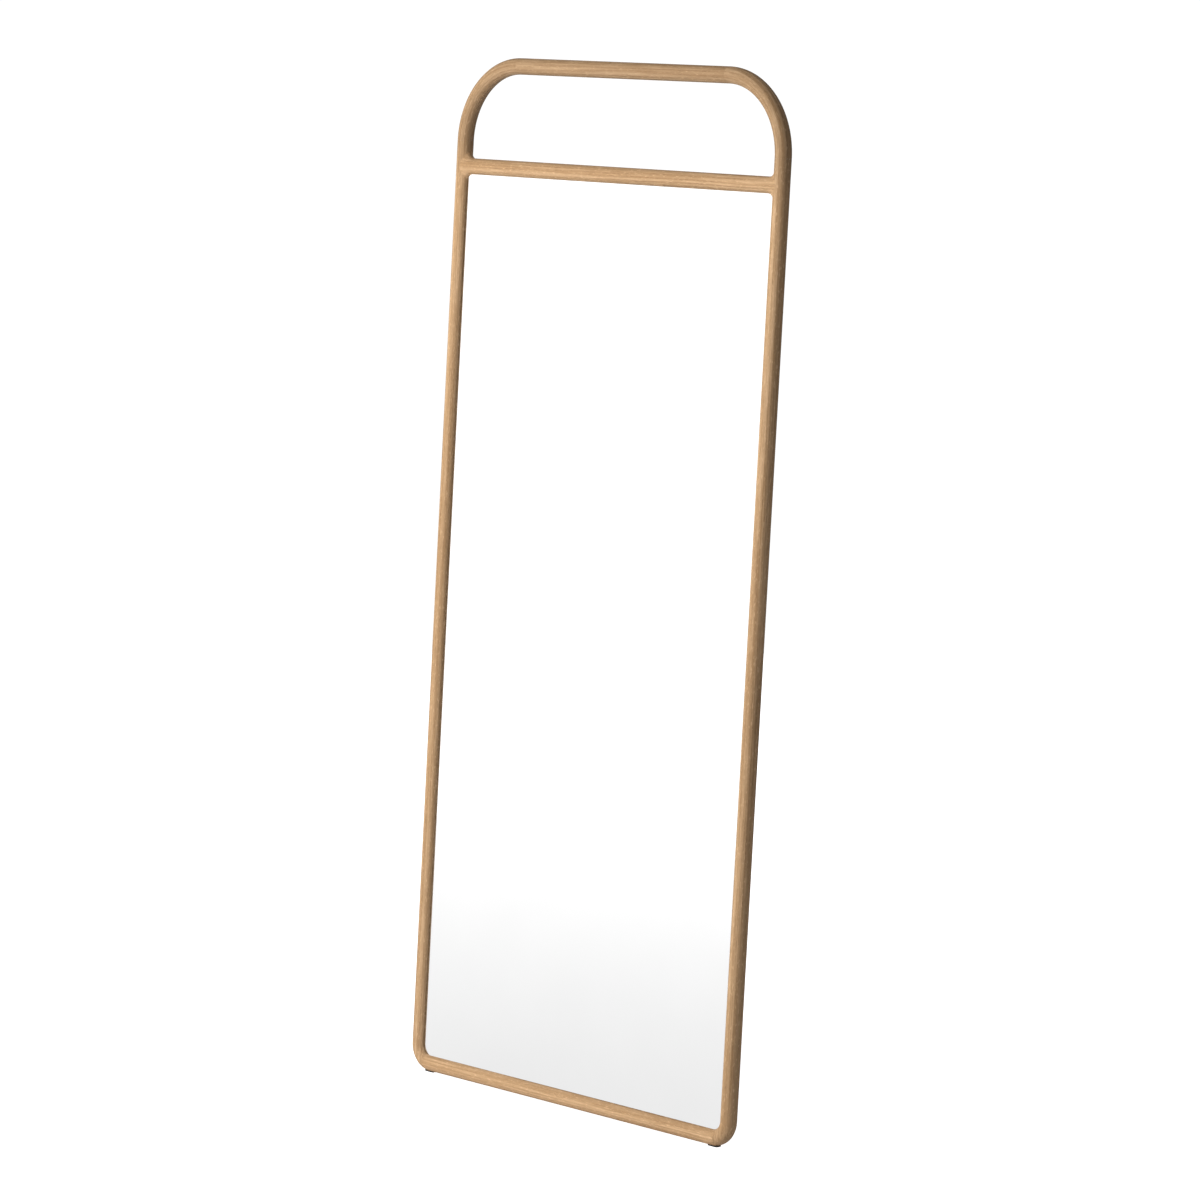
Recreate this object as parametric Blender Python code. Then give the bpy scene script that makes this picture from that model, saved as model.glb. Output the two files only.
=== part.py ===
"""Leaning full-length mirror with a round-section oak frame.

The frame is drawn upright, with X to the right, Y to the back and Z along the stiles. Z is zero on the
axis of the bottom rail, and Y is zero on the axes of all frame members. An empty then leans the whole
frame back against the wall. Only the floor pads and the wall bumpers follow the room instead of the frame.
"""

import math

import bmesh
import bpy
from mathutils import Vector

# Whole object
OVERALL_WIDTH = 0.800
OVERALL_HEIGHT = 1.800
LEAN = math.radians(4.0)

# Round frame members
TUBE_RADIUS = 0.01425
TOP_CORNER_RADIUS = 0.133
BOTTOM_CORNER_RADIUS = 0.032
CROSS_RAIL_HEIGHT = 1.594
FILLET_RADIUS = 0.012
BOTTOM_SEAM_INSET = 0.022
GAP = 0.0003

# Recesses milled from the back, measured from the members' axes towards the opening
GLASS_RECESS_INSET = 0.003
GLASS_RECESS_FRONT = -0.0039
PANEL_RECESS_INSET = -0.006
PANEL_RECESS_FRONT = 0.0030
RECESS_BACK = 0.020
UPPER_RECESS_CORNER = 0.006

# Sheets that lie in the recesses
GLASS_THICKNESS = 0.004
FILM_THICKNESS = 0.0004
FOAM_THICKNESS = 0.0012
PANEL_THICKNESS = 0.004
GLASS_CLEARANCE = 0.0006
PANEL_CLEARANCE = 0.0008

# Screws that hold the back panel
SCREW_OFFSET = -0.0015
SCREW_SHANK_RADIUS = 0.0015
SCREW_LENGTH = 0.012
SCREW_HEAD_RADIUS = 0.0028
SCREW_HEAD_HEIGHT = 0.0020
STILE_SCREW_HEIGHTS = (0.10, 0.45, 0.80, 1.15, 1.50)
RAIL_SCREW_PLACES = (-0.24, 0.0, 0.24)

# Dowels
SMALL_DOWEL_RADIUS = 0.003
LARGE_DOWEL_RADIUS = 0.005
DOWEL_CORNER_HALF_LENGTH = 0.020

# Floor pads and wall bumpers
PAD_INSET = 0.031
PAD_HALF_LENGTH = 0.011
PAD_HALF_WIDTH = 0.006
PAD_PROUD = 0.0012
PAD_SUNK = 0.0016
BUMPER_PLACE = 0.215
BUMPER_RADIUS = 0.007
BUMPER_PROUD = 0.0010
BUMPER_SUNK = 0.0018

# Facets
TUBE_SEGMENTS = 32
TOP_CORNER_STEPS = 14
BOTTOM_CORNER_STEPS = 9
FILLET_STEPS = 6
ARC_STEPS = 6
DOWEL_SEGMENTS = 12
SCREW_SEGMENTS = 10
BUMPER_SEGMENTS = 20

# Worked out
HALF_WIDTH = OVERALL_WIDTH / 2 - TUBE_RADIUS
AXIS_HEIGHT = OVERALL_HEIGHT - 2 * TUBE_RADIUS
TOP_SEAM_HEIGHT = AXIS_HEIGHT - TOP_CORNER_RADIUS
TOP_SEAM_PLACE = HALF_WIDTH - TOP_CORNER_RADIUS
BOTTOM_SEAM_PLACE = HALF_WIDTH - BOTTOM_SEAM_INSET
BOTTOM_AXIS_ABOVE_FLOOR = TUBE_RADIUS + PAD_PROUD
BACKWARD_REACH = AXIS_HEIGHT * math.sin(LEAN) + BUMPER_PROUD
SIDES = {"left": -1, "right": 1}

OAK = ("oak", (0.60, 0.40, 0.23), 0.55, 0.0)
BEECH = ("beech", (0.72, 0.52, 0.34), 0.65, 0.0)
MIRROR = ("silvered_glass", (0.93, 0.95, 0.94), 0.03, 1.0)
FILM = ("safety_film", (0.62, 0.64, 0.66), 0.40, 0.0)
FOAM = ("foam", (0.82, 0.82, 0.80), 0.90, 0.0)
FIBREBOARD = ("fibreboard", (0.30, 0.19, 0.11), 0.80, 0.0)
STEEL = ("zinc_plated_steel", (0.66, 0.66, 0.62), 0.35, 1.0)
RUBBER = ("dark_rubber", (0.035, 0.032, 0.030), 0.85, 0.0)


def clear_scene():
    """Remove every object from the open file."""
    for thing in list(bpy.data.objects):
        bpy.data.objects.remove(thing, do_unlink=True)


def material(description):
    """Return the Principled BSDF material with this description, made once."""
    name, colour, roughness, metallic = description
    found = bpy.data.materials.get(name)
    if found:
        return found
    made = bpy.data.materials.new(name)
    made.use_nodes = True
    shader = made.node_tree.nodes["Principled BSDF"]
    shader.inputs["Base Color"].default_value = (*colour, 1.0)
    shader.inputs["Roughness"].default_value = roughness
    shader.inputs["Metallic"].default_value = metallic
    return made


def add_object(name, bm, parent, description=None, smooth_angle=None):
    """Turn a closed bmesh into an object under its parent, with faces pointing out."""
    bmesh.ops.recalc_face_normals(bm, faces=bm.faces)
    mesh = bpy.data.meshes.new(name)
    bm.to_mesh(mesh)
    bm.free()
    if description:
        mesh.materials.append(material(description))
    if smooth_angle:
        mesh.shade_smooth()
        mesh.set_sharp_from_angle(angle=smooth_angle)
    thing = bpy.data.objects.new(name, mesh)
    bpy.context.scene.collection.objects.link(thing)
    thing.parent = parent
    return thing


def add_cutter(name, bm, parent):
    """Make an object that only cuts others."""
    cutter = add_object(name, bm, parent)
    cutter.hide_render = True
    cutter.display_type = "WIRE"
    return cutter


def cut(thing, *cutters):
    """Take the cutters' volumes away from an object."""
    for cutter in cutters:
        boolean = thing.modifiers.new(cutter.name, "BOOLEAN")
        boolean.operation = "DIFFERENCE"
        boolean.solver = "EXACT"
        boolean.object = cutter


def add_lean():
    """Add the empty that leans the frame, at the bottom rail's axis."""
    lean = bpy.data.objects.new("frame_lean", None)
    bpy.context.scene.collection.objects.link(lean)
    lean.location = (0.0, -BACKWARD_REACH / 2, BOTTOM_AXIS_ABOVE_FLOOR)
    lean.rotation_euler = (-LEAN, 0.0, 0.0)
    return lean


def skin_rings(bm, rings):
    """Join each ring of vertices to the next with four-sided faces."""
    for ring, following in zip(rings, rings[1:]):
        count = len(ring)
        for k in range(count):
            bm.faces.new((ring[k], ring[(k + 1) % count], following[(k + 1) % count], following[k]))


def tube(path, radius=TUBE_RADIUS, segments=TUBE_SEGMENTS):
    """Sweep a circle along a path in the XZ plane, given as (point, direction) pairs."""
    bm = bmesh.new()
    rings = []
    for point, direction in path:
        sideways = Vector((direction.z, 0.0, -direction.x))
        ring = []
        for k in range(segments):
            angle = 2 * math.pi * k / segments
            offset = sideways * math.cos(angle) + Vector((0.0, 1.0, 0.0)) * math.sin(angle)
            ring.append(bm.verts.new(point + offset * radius))
        rings.append(ring)
    skin_rings(bm, rings)
    bm.faces.new(rings[0])
    bm.faces.new(rings[-1])
    return bm


def arc_path(centre_x, centre_z, radius, start, end, steps):
    """Points and directions along an arc, with angles from +X towards +Z."""
    path = []
    sense = 1.0 if end > start else -1.0
    for k in range(steps + 1):
        angle = start + (end - start) * k / steps
        point = Vector((centre_x + radius * math.cos(angle), 0.0, centre_z + radius * math.sin(angle)))
        path.append((point, Vector((-math.sin(angle), 0.0, math.cos(angle))) * sense))
    return path


def trim(bm, place, keep_side):
    """Cut a bmesh flat at x = place and keep the part on the side of the given sign."""
    geometry = bm.verts[:] + bm.edges[:] + bm.faces[:]
    result = bmesh.ops.bisect_plane(
        bm,
        geom=geometry,
        plane_co=(place, 0.0, 0.0),
        plane_no=(-keep_side, 0.0, 0.0),
        clear_outer=True,
    )
    edges = [item for item in result["geom_cut"] if isinstance(item, bmesh.types.BMEdge)]
    bmesh.ops.edgeloop_fill(bm, edges=edges)


def stile(side):
    """One upright, which turns inwards at its foot and stops at the bottom rail's seam."""
    sign = SIDES[side]
    centre_x = sign * (HALF_WIDTH - BOTTOM_CORNER_RADIUS)
    start = 0.0 if sign > 0 else math.pi
    end = -math.pi / 2 if sign > 0 else 1.5 * math.pi
    top = Vector((sign * HALF_WIDTH, 0.0, TOP_SEAM_HEIGHT - GAP / 2))
    path = [(top, Vector((0.0, 0.0, -1.0)))]
    path += arc_path(centre_x, BOTTOM_CORNER_RADIUS, BOTTOM_CORNER_RADIUS, start, end, BOTTOM_CORNER_STEPS)
    bm = tube(path)
    trim(bm, sign * (BOTTOM_SEAM_PLACE + GAP / 2), sign)
    return bm


def bottom_rail():
    """The bottom rail, with the last of each corner's bend at its ends."""
    radius = BOTTOM_CORNER_RADIUS
    centre_x = HALF_WIDTH - radius
    path = arc_path(-centre_x, radius, radius, math.pi, 1.5 * math.pi, BOTTOM_CORNER_STEPS)
    path += arc_path(centre_x, radius, radius, -math.pi / 2, 0.0, BOTTOM_CORNER_STEPS)
    bm = tube(path)
    trim(bm, -(BOTTOM_SEAM_PLACE - GAP / 2), 1)
    trim(bm, BOTTOM_SEAM_PLACE - GAP / 2, -1)
    return bm


def top_corner(side):
    """The quarter bend between a stile and the top rail."""
    sign = SIDES[side]
    clear = GAP / 2 / TOP_CORNER_RADIUS
    start = clear if sign > 0 else math.pi - clear
    end = math.pi / 2 - clear if sign > 0 else math.pi / 2 + clear
    path = arc_path(sign * TOP_SEAM_PLACE, TOP_SEAM_HEIGHT, TOP_CORNER_RADIUS, start, end, TOP_CORNER_STEPS)
    return tube(path)


def top_rail():
    """The straight rail between the two top corners."""
    reach = TOP_SEAM_PLACE - GAP / 2
    along = Vector((1.0, 0.0, 0.0))
    return tube([(Vector((x, 0.0, AXIS_HEIGHT)), along) for x in (-reach, reach)])


def cross_rail_ring(bm, sign, turn):
    """One ring of the cross rail's flared end.

    The turn runs along the fillet, from zero on the stile's surface to a quarter turn where the plain
    round section begins. On the stile the ring follows the stile's round side.
    """
    seat_radius = TUBE_RADIUS + GAP
    along = 1.0 - math.cos(turn)
    flare = FILLET_RADIUS * (1.0 - math.sin(turn))
    ring = []
    for k in range(TUBE_SEGMENTS):
        angle = 2 * math.pi * k / TUBE_SEGMENTS
        y = -TUBE_RADIUS * math.cos(angle)
        z = CROSS_RAIL_HEIGHT + (TUBE_RADIUS + flare) * math.sin(angle)
        seat = math.sqrt(seat_radius**2 - y**2)
        inward = seat * (1.0 - along) + (seat_radius + FILLET_RADIUS) * along
        ring.append(bm.verts.new((sign * (HALF_WIDTH - inward), y, z)))
    return ring


def fill_seat(bm, ring):
    """Close a coped end with strips that run along the stile."""
    count = len(ring)
    for k in range(count // 2):
        corners = (ring[k], ring[k + 1], ring[(count - k - 1) % count], ring[(count - k) % count])
        bm.faces.new(list(dict.fromkeys(corners)))


def cross_rail():
    """The rail above the glass, with both ends flared and coped to the stiles."""
    bm = bmesh.new()
    turns = [math.pi / 2 * k / FILLET_STEPS for k in range(FILLET_STEPS + 1)]
    rings = [cross_rail_ring(bm, -1, turn) for turn in turns]
    rings += [cross_rail_ring(bm, 1, turn) for turn in reversed(turns)]
    skin_rings(bm, rings)
    fill_seat(bm, rings[0])
    fill_seat(bm, rings[-1])
    return bm


def rounded_outline(half_width, low, high, low_radius, high_radius):
    """Corner points of an upright rectangle with rounded corners, in the XZ plane."""
    corners = (
        (half_width - low_radius, low + low_radius, low_radius, -math.pi / 2),
        (half_width - high_radius, high - high_radius, high_radius, 0.0),
        (-half_width + high_radius, high - high_radius, high_radius, math.pi / 2),
        (-half_width + low_radius, low + low_radius, low_radius, math.pi),
    )
    points = []
    for centre_x, centre_z, radius, start in corners:
        for k in range(ARC_STEPS + 1):
            angle = start + math.pi / 2 * k / ARC_STEPS
            points.append((centre_x + radius * math.cos(angle), centre_z + radius * math.sin(angle)))
    return points


def slab(outline, front, back):
    """A flat solid with this XZ outline between two depths."""
    bm = bmesh.new()
    rings = [[bm.verts.new((x, y, z)) for x, z in outline] for y in (front, back)]
    skin_rings(bm, rings)
    bm.faces.new(rings[0])
    bm.faces.new(rings[1])
    return bm


def back_recess():
    """The stepped hollow behind the frame: the glass in front, and the wider back panel behind it."""
    glass_outline = recess_outline(GLASS_RECESS_INSET)
    panel_outline = recess_outline(PANEL_RECESS_INSET)
    bm = bmesh.new()
    rings = []
    for outline, y in (
        (glass_outline, GLASS_RECESS_FRONT),
        (glass_outline, PANEL_RECESS_FRONT),
        (panel_outline, PANEL_RECESS_FRONT),
        (panel_outline, RECESS_BACK),
    ):
        rings.append([bm.verts.new((x, y, z)) for x, z in outline])
    skin_rings(bm, rings)
    bm.faces.new(rings[0])
    bm.faces.new(rings[-1])
    return bm


def recess_outline(inset, clearance=0.0):
    """The outline of a sheet or recess at this inset from the members' axes."""
    inset = inset + clearance
    return rounded_outline(
        HALF_WIDTH - inset,
        inset,
        CROSS_RAIL_HEIGHT - inset,
        BOTTOM_CORNER_RADIUS - inset,
        UPPER_RECESS_CORNER - clearance,
    )


def rod(bm, start, end, radius, segments):
    """Add a round bar between two points to a bmesh."""
    start, end = Vector(start), Vector(end)
    along = (end - start).normalized()
    across = along.orthogonal().normalized()
    other = along.cross(across)
    rings = []
    for centre in (start, end):
        ring = []
        for k in range(segments):
            angle = 2 * math.pi * k / segments
            ring.append(bm.verts.new(centre + (across * math.cos(angle) + other * math.sin(angle)) * radius))
        rings.append(ring)
    skin_rings(bm, rings)
    bm.faces.new(rings[0])
    bm.faces.new(rings[1])


def screw_places():
    """Where the panel screws sit, as (x, z)."""
    side = HALF_WIDTH - SCREW_OFFSET
    places = [(sign * side, z) for sign in SIDES.values() for z in STILE_SCREW_HEIGHTS]
    places += [(x, z) for z in (SCREW_OFFSET, CROSS_RAIL_HEIGHT - SCREW_OFFSET) for x in RAIL_SCREW_PLACES]
    return places


def panel_screw():
    """A pan-head screw with its tip towards the front and its head's seat at y = 0."""
    tip_length = 0.003
    profile = (
        (0.0003, -SCREW_LENGTH),
        (SCREW_SHANK_RADIUS, -SCREW_LENGTH + tip_length),
        (SCREW_SHANK_RADIUS, 0.0),
        (SCREW_HEAD_RADIUS, 0.0),
        (SCREW_HEAD_RADIUS, SCREW_HEAD_HEIGHT * 0.45),
        (SCREW_HEAD_RADIUS * 0.62, SCREW_HEAD_HEIGHT),
    )
    bm = bmesh.new()
    rings = []
    for radius, y in profile:
        angles = [2 * math.pi * k / SCREW_SEGMENTS for k in range(SCREW_SEGMENTS)]
        rings.append([bm.verts.new((radius * math.cos(a), y, radius * math.sin(a))) for a in angles])
    skin_rings(bm, rings)
    bm.faces.new(rings[0])
    bm.faces.new(rings[-1])
    return bm


def dowels():
    """Every dowel as name: (start, end, radius)."""
    made = {}
    small, large, half = SMALL_DOWEL_RADIUS, LARGE_DOWEL_RADIUS, DOWEL_CORNER_HALF_LENGTH
    for side, sign in SIDES.items():
        inner, outer = sign * (HALF_WIDTH - 0.046), sign * (HALF_WIDTH + 0.004)
        for level, y, rise in (("lower", -0.0050, 0.0010), ("upper", -0.0035, 0.0085)):
            z = CROSS_RAIL_HEIGHT + rise
            made[f"cross_rail_dowel_{level}_{side}"] = ((outer, y, z), (inner, y, z), small)
        outer = sign * (HALF_WIDTH - 0.009)
        made[f"bottom_rail_dowel_{side}"] = ((outer, -0.0050, -0.0010), (inner, -0.0050, -0.0010), small)
        x, z = sign * HALF_WIDTH, TOP_SEAM_HEIGHT
        made[f"stile_dowel_{side}"] = ((x, 0.0, z - half), (x, 0.0, z + half), large)
        x, z = sign * TOP_SEAM_PLACE, AXIS_HEIGHT
        made[f"top_rail_dowel_{side}"] = ((x - half, 0.0, z), (x + half, 0.0, z), large)
    return made


def dowel_holes():
    """One cutter body for each dowel, a little larger and longer than the dowel."""
    bm = bmesh.new()
    for start, end, radius in dowels().values():
        start, end = Vector(start), Vector(end)
        spare = (end - start).normalized() * 0.0005
        rod(bm, start - spare, end + spare, radius + GAP, DOWEL_SEGMENTS)
    return bm


def screw_holes():
    """One cutter body for each screw, through the panel and into the wood."""
    seat = PANEL_RECESS_FRONT + GAP + PANEL_THICKNESS + GAP
    bm = bmesh.new()
    for x, z in screw_places():
        front = seat - SCREW_LENGTH - 0.0005
        rod(bm, (x, front, z), (x, RECESS_BACK, z), SCREW_SHANK_RADIUS + GAP, SCREW_SEGMENTS)
    return bm


def pad_body(margin, top, bottom):
    """A floor pad's block about the bottom rail's axis, with its corners cut off."""
    length, width = PAD_HALF_LENGTH + margin, PAD_HALF_WIDTH + margin
    corner = 0.002
    outline = (
        (length, -width + corner),
        (length, width - corner),
        (length - corner, width),
        (-length + corner, width),
        (-length, width - corner),
        (-length, -width + corner),
        (-length + corner, -width),
        (length - corner, -width),
    )
    bm = bmesh.new()
    rings = [[bm.verts.new((x, y, z)) for x, y in outline] for z in (top, bottom)]
    skin_rings(bm, rings)
    bm.faces.new(rings[0])
    bm.faces.new(rings[1])
    return bm


def bumper_body(margin, front, back):
    """A wall bumper's disc about the top rail's axis."""
    bm = bmesh.new()
    rod(bm, (0.0, front, 0.0), (0.0, back, 0.0), BUMPER_RADIUS + margin, BUMPER_SEGMENTS)
    return bm


def square_to_room(thing, x, z):
    """Place an object on the leaning frame but keep it level and upright."""
    thing.location = (x, 0.0, z)
    thing.rotation_euler = (LEAN, 0.0, 0.0)


def build_frame(lean):
    """The seven oak members with everything that is milled into them."""
    smooth = math.radians(35)
    members = {
        "top_rail": add_object("top_rail", top_rail(), lean, OAK, smooth),
        "cross_rail": add_object("cross_rail", cross_rail(), lean, OAK, smooth),
        "bottom_rail": add_object("bottom_rail", bottom_rail(), lean, OAK, smooth),
    }
    for side in SIDES:
        for name, shape in ((f"stile_{side}", stile), (f"top_corner_{side}", top_corner)):
            members[name] = add_object(name, shape(side), lean, OAK, smooth)
    recess_cutter = add_cutter("back_recess", back_recess(), lean)
    screw_cutter = add_cutter("screw_holes", screw_holes(), lean)
    dowel_cutter = add_cutter("dowel_holes", dowel_holes(), lean)
    for name in ("stile_left", "stile_right", "cross_rail", "bottom_rail"):
        cut(members[name], recess_cutter, screw_cutter)
    for member in members.values():
        cut(member, dowel_cutter)
    return members, screw_cutter


def build_pads(lean, members):
    """The floor pads under the bottom corners and the wall bumpers behind the top rail."""
    for side, sign in SIDES.items():
        pad_top = -(TUBE_RADIUS - PAD_SUNK)
        pocket = pad_body(GAP, pad_top, -2 * TUBE_RADIUS)
        pocket_cutter = add_cutter(f"pad_pocket_{side}", pocket, lean)
        pad_shape = pad_body(0.0, pad_top - GAP, -(TUBE_RADIUS + PAD_PROUD))
        pad = add_object(f"anti_slip_pad_{side}", pad_shape, lean, RUBBER)
        for thing in (pocket_cutter, pad):
            square_to_room(thing, sign * (HALF_WIDTH - PAD_INSET), 0.0)
        cut(members["bottom_rail"], pocket_cutter)
        cut(members[f"stile_{side}"], pocket_cutter)

        bumper_front = TUBE_RADIUS - BUMPER_SUNK
        pocket_cutter = add_cutter(f"bumper_pocket_{side}", bumper_body(GAP, bumper_front, 0.03), lean)
        bumper_shape = bumper_body(0.0, bumper_front + GAP, TUBE_RADIUS + BUMPER_PROUD)
        bumper = add_object(f"wall_bumper_{side}", bumper_shape, lean, RUBBER)
        for thing in (pocket_cutter, bumper):
            square_to_room(thing, sign * BUMPER_PLACE, AXIS_HEIGHT)
        cut(members["top_rail"], pocket_cutter)


def build_sheets(lean, screw_cutter):
    """The glass, its film, the foam and the screwed back panel."""
    glass_outline = recess_outline(GLASS_RECESS_INSET, GLASS_CLEARANCE)
    panel_outline = recess_outline(PANEL_RECESS_INSET, PANEL_CLEARANCE)
    front = GLASS_RECESS_FRONT + GAP
    for name, thickness, description in (
        ("mirror_glass", GLASS_THICKNESS, MIRROR),
        ("safety_film", FILM_THICKNESS, FILM),
        ("foam_liner", FOAM_THICKNESS, FOAM),
    ):
        add_object(name, slab(glass_outline, front, front + thickness), lean, description)
        front += thickness + GAP
    panel_front = PANEL_RECESS_FRONT + GAP
    panel_shape = slab(panel_outline, panel_front, panel_front + PANEL_THICKNESS)
    panel = add_object("back_panel", panel_shape, lean, FIBREBOARD)
    cut(panel, screw_cutter)


def build_fasteners(lean):
    """The panel screws and the dowels."""
    head_seat = PANEL_RECESS_FRONT + GAP + PANEL_THICKNESS + GAP
    for number, (x, z) in enumerate(screw_places(), start=1):
        screw = add_object(f"panel_screw_{number:02d}", panel_screw(), lean, STEEL, math.radians(40))
        screw.location = (x, head_seat, z)
    for name, (start, end, radius) in dowels().items():
        bm = bmesh.new()
        rod(bm, start, end, radius, DOWEL_SEGMENTS)
        add_object(name, bm, lean, BEECH, math.radians(40))


def main():
    """Build the whole mirror."""
    clear_scene()
    lean = add_lean()
    members, screw_cutter = build_frame(lean)
    build_pads(lean, members)
    build_sheets(lean, screw_cutter)
    build_fasteners(lean)


main()
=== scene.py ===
"""Looks of the leaning floor mirror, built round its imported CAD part. Metres, +Z up, glass facing -Y."""

import math

import bmesh
import bpy
from mathutils import Matrix, Vector


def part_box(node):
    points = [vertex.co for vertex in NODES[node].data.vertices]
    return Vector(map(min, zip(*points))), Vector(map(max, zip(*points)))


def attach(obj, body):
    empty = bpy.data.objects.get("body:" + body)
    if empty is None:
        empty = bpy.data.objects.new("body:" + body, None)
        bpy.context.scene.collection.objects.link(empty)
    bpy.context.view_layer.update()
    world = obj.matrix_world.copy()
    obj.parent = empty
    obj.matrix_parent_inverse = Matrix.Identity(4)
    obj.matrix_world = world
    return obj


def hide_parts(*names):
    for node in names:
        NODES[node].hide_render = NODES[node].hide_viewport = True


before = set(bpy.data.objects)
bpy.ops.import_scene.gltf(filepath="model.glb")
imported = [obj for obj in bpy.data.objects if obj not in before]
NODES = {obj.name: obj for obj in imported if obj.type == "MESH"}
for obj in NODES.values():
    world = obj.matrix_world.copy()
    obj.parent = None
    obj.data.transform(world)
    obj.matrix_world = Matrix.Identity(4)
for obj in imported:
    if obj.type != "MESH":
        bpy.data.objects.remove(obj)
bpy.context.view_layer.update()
SIDES = {"left": -1, "right": 1}


def middle(node):
    """The centre of a CAD node's box."""
    low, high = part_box(node)
    return (low + high) / 2


# The frame leans, so it is drawn upright (x to the right, y to the back, z up the stiles) and
# leaned at the end. The corner dowels lie exactly on the members' axes, which fixes the lean.
HALF_WIDTH = middle("stile_dowel_right").x
TUBE_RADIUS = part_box("stile_right")[1].x - HALF_WIDTH
TOP_SEAM_PLACE = middle("top_rail_dowel_right").x
TOP_CORNER_RADIUS = HALF_WIDTH - TOP_SEAM_PLACE
TOP_AXIS = middle("top_rail_dowel_right")
CORNER_AXIS = middle("stile_dowel_right")
LEAN = math.atan2(TOP_AXIS.y - CORNER_AXIS.y, TOP_AXIS.z - CORNER_AXIS.z)
FOOT_Y = middle("anti_slip_pad_right").y
AXIS_HEIGHT = (TOP_AXIS.y - FOOT_Y) / math.sin(LEAN)
FOOT_Z = TOP_AXIS.z - AXIS_HEIGHT * math.cos(LEAN)
TO_ROOM = Matrix.Translation((0.0, FOOT_Y, FOOT_Z)) @ Matrix.Rotation(-LEAN, 4, "X")
TO_FRAME = TO_ROOM.inverted()
TOP_SEAM_HEIGHT = AXIS_HEIGHT - TOP_CORNER_RADIUS


def leaning_box(node):
    """Lowest and highest corner of a CAD node in the frame's own upright axes."""
    points = [TO_FRAME @ vertex.co for vertex in NODES[node].data.vertices]
    low = Vector(min(point[k] for point in points) for k in range(3))
    high = Vector(max(point[k] for point in points) for k in range(3))
    return low, high


GLASS_LOW, GLASS_HIGH = leaning_box("mirror_glass")
PANEL_LOW, PANEL_HIGH = leaning_box("back_panel")

# Sizes of the milled and turned details.
FILLET_RADIUS = 0.012
CROSS_RAIL_HEIGHT = leaning_box("cross_rail")[1].z - TUBE_RADIUS - FILLET_RADIUS
BOTTOM_CORNER_RADIUS = 0.032
BOTTOM_SEAM_PLACE = leaning_box("bottom_rail")[1].x
GLASS_CLEARANCE = 0.0006
PANEL_CLEARANCE = 0.0008
SHEET_GAP = 0.0003
GLASS_BEVEL = 0.0006
RECESS_BACK = 0.020
UPPER_RECESS_CORNER = 0.006
SCREW_SHANK_RADIUS = 0.0015
SCREW_PITCH = 0.0011
PAD_EASE = 0.0004
PAD_CORNER_RADIUS = 0.0022
BUMPER_RIM_RADIUS = 0.0007
SEAM_GAP = 0.00006
SEAM_BEVEL = 0.00030

# How light the wood above the cross rail is, against the rest.
UPPER_WOOD_LIGHTNESS = 0.80

# The studio: distances in metres, powers in watts, bearings in degrees, and how white it looks.
FLOOR_RADIUS = 5.0
KEY_BEARING = -24.0
KEY_HEIGHT = 16.0
KEY_DISTANCE = 4.5
KEY_SIZE = (2.2, 4.4)
KEY_POWER = 250.0
FILL_DISTANCE = 5.0
FILL_SIZE = (3.0, 3.0)
FILL_POWER = 25.0
BACK_POWER = 65.0
AMBIENT = 0.19
CAMERA_WHITE = 1.05
MIRROR_WHITE = 1.30

# The camera: its place in metres, its lens in millimetres and its turns in degrees.
CAMERA_PLACE = (5.8476, -5.6461, 2.0792)
CAMERA_LENS = 143.85
CAMERA_BEARING = 45.954
CAMERA_DOWN = 8.380
CAMERA_ROLL = 0.171

# How finely the round pieces are drawn.
TUBE_SEGMENTS = 96
BEND_STEPS = 40
FOOT_STEPS = 24
FILLET_STEPS = 16
STRAIGHT_STEPS = 24
OUTLINE_STEPS = 16


def mesh_object(name, bm):
    """A new object from a bmesh, which is freed."""
    bmesh.ops.recalc_face_normals(bm, faces=bm.faces[:])
    mesh = bpy.data.meshes.new(name)
    bm.to_mesh(mesh)
    bm.free()
    thing = bpy.data.objects.new(name, mesh)
    bpy.context.scene.collection.objects.link(thing)
    return thing


def skin_rings(bm, rings):
    """Join each ring of vertices to the next with four-sided faces."""
    for ring, following in zip(rings, rings[1:]):
        count = len(ring)
        for k in range(count):
            after = (k + 1) % count
            bm.faces.new((ring[k], ring[after], following[after], following[k]))


def tube(path, radius):
    """Sweep a circle along a path in the XZ plane, given as (point, direction) pairs."""
    bm = bmesh.new()
    rings = []
    for point, direction in path:
        sideways = Vector((direction.z, 0.0, -direction.x))
        ring = []
        for k in range(TUBE_SEGMENTS):
            angle = 2 * math.pi * k / TUBE_SEGMENTS
            offset = sideways * math.cos(angle) + Vector((0.0, 1.0, 0.0)) * math.sin(angle)
            ring.append(bm.verts.new(point + offset * radius))
        rings.append(ring)
    skin_rings(bm, rings)
    bm.faces.new(rings[0])
    bm.faces.new(rings[-1])
    return bm


def straight_path(start, end, steps):
    """Evenly spaced points between two points."""
    start, end = Vector(start), Vector(end)
    along = (end - start).normalized()
    return [(start.lerp(end, k / steps), along) for k in range(steps + 1)]


def arc_path(centre_x, centre_z, radius, start, end, steps):
    """Points along an arc, with angles from +X towards +Z."""
    path = []
    sense = 1.0 if end > start else -1.0
    for k in range(steps + 1):
        angle = start + (end - start) * k / steps
        point = Vector((centre_x + radius * math.cos(angle), 0.0, centre_z + radius * math.sin(angle)))
        path.append((point, Vector((-math.sin(angle), 0.0, math.cos(angle))) * sense))
    return path


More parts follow.
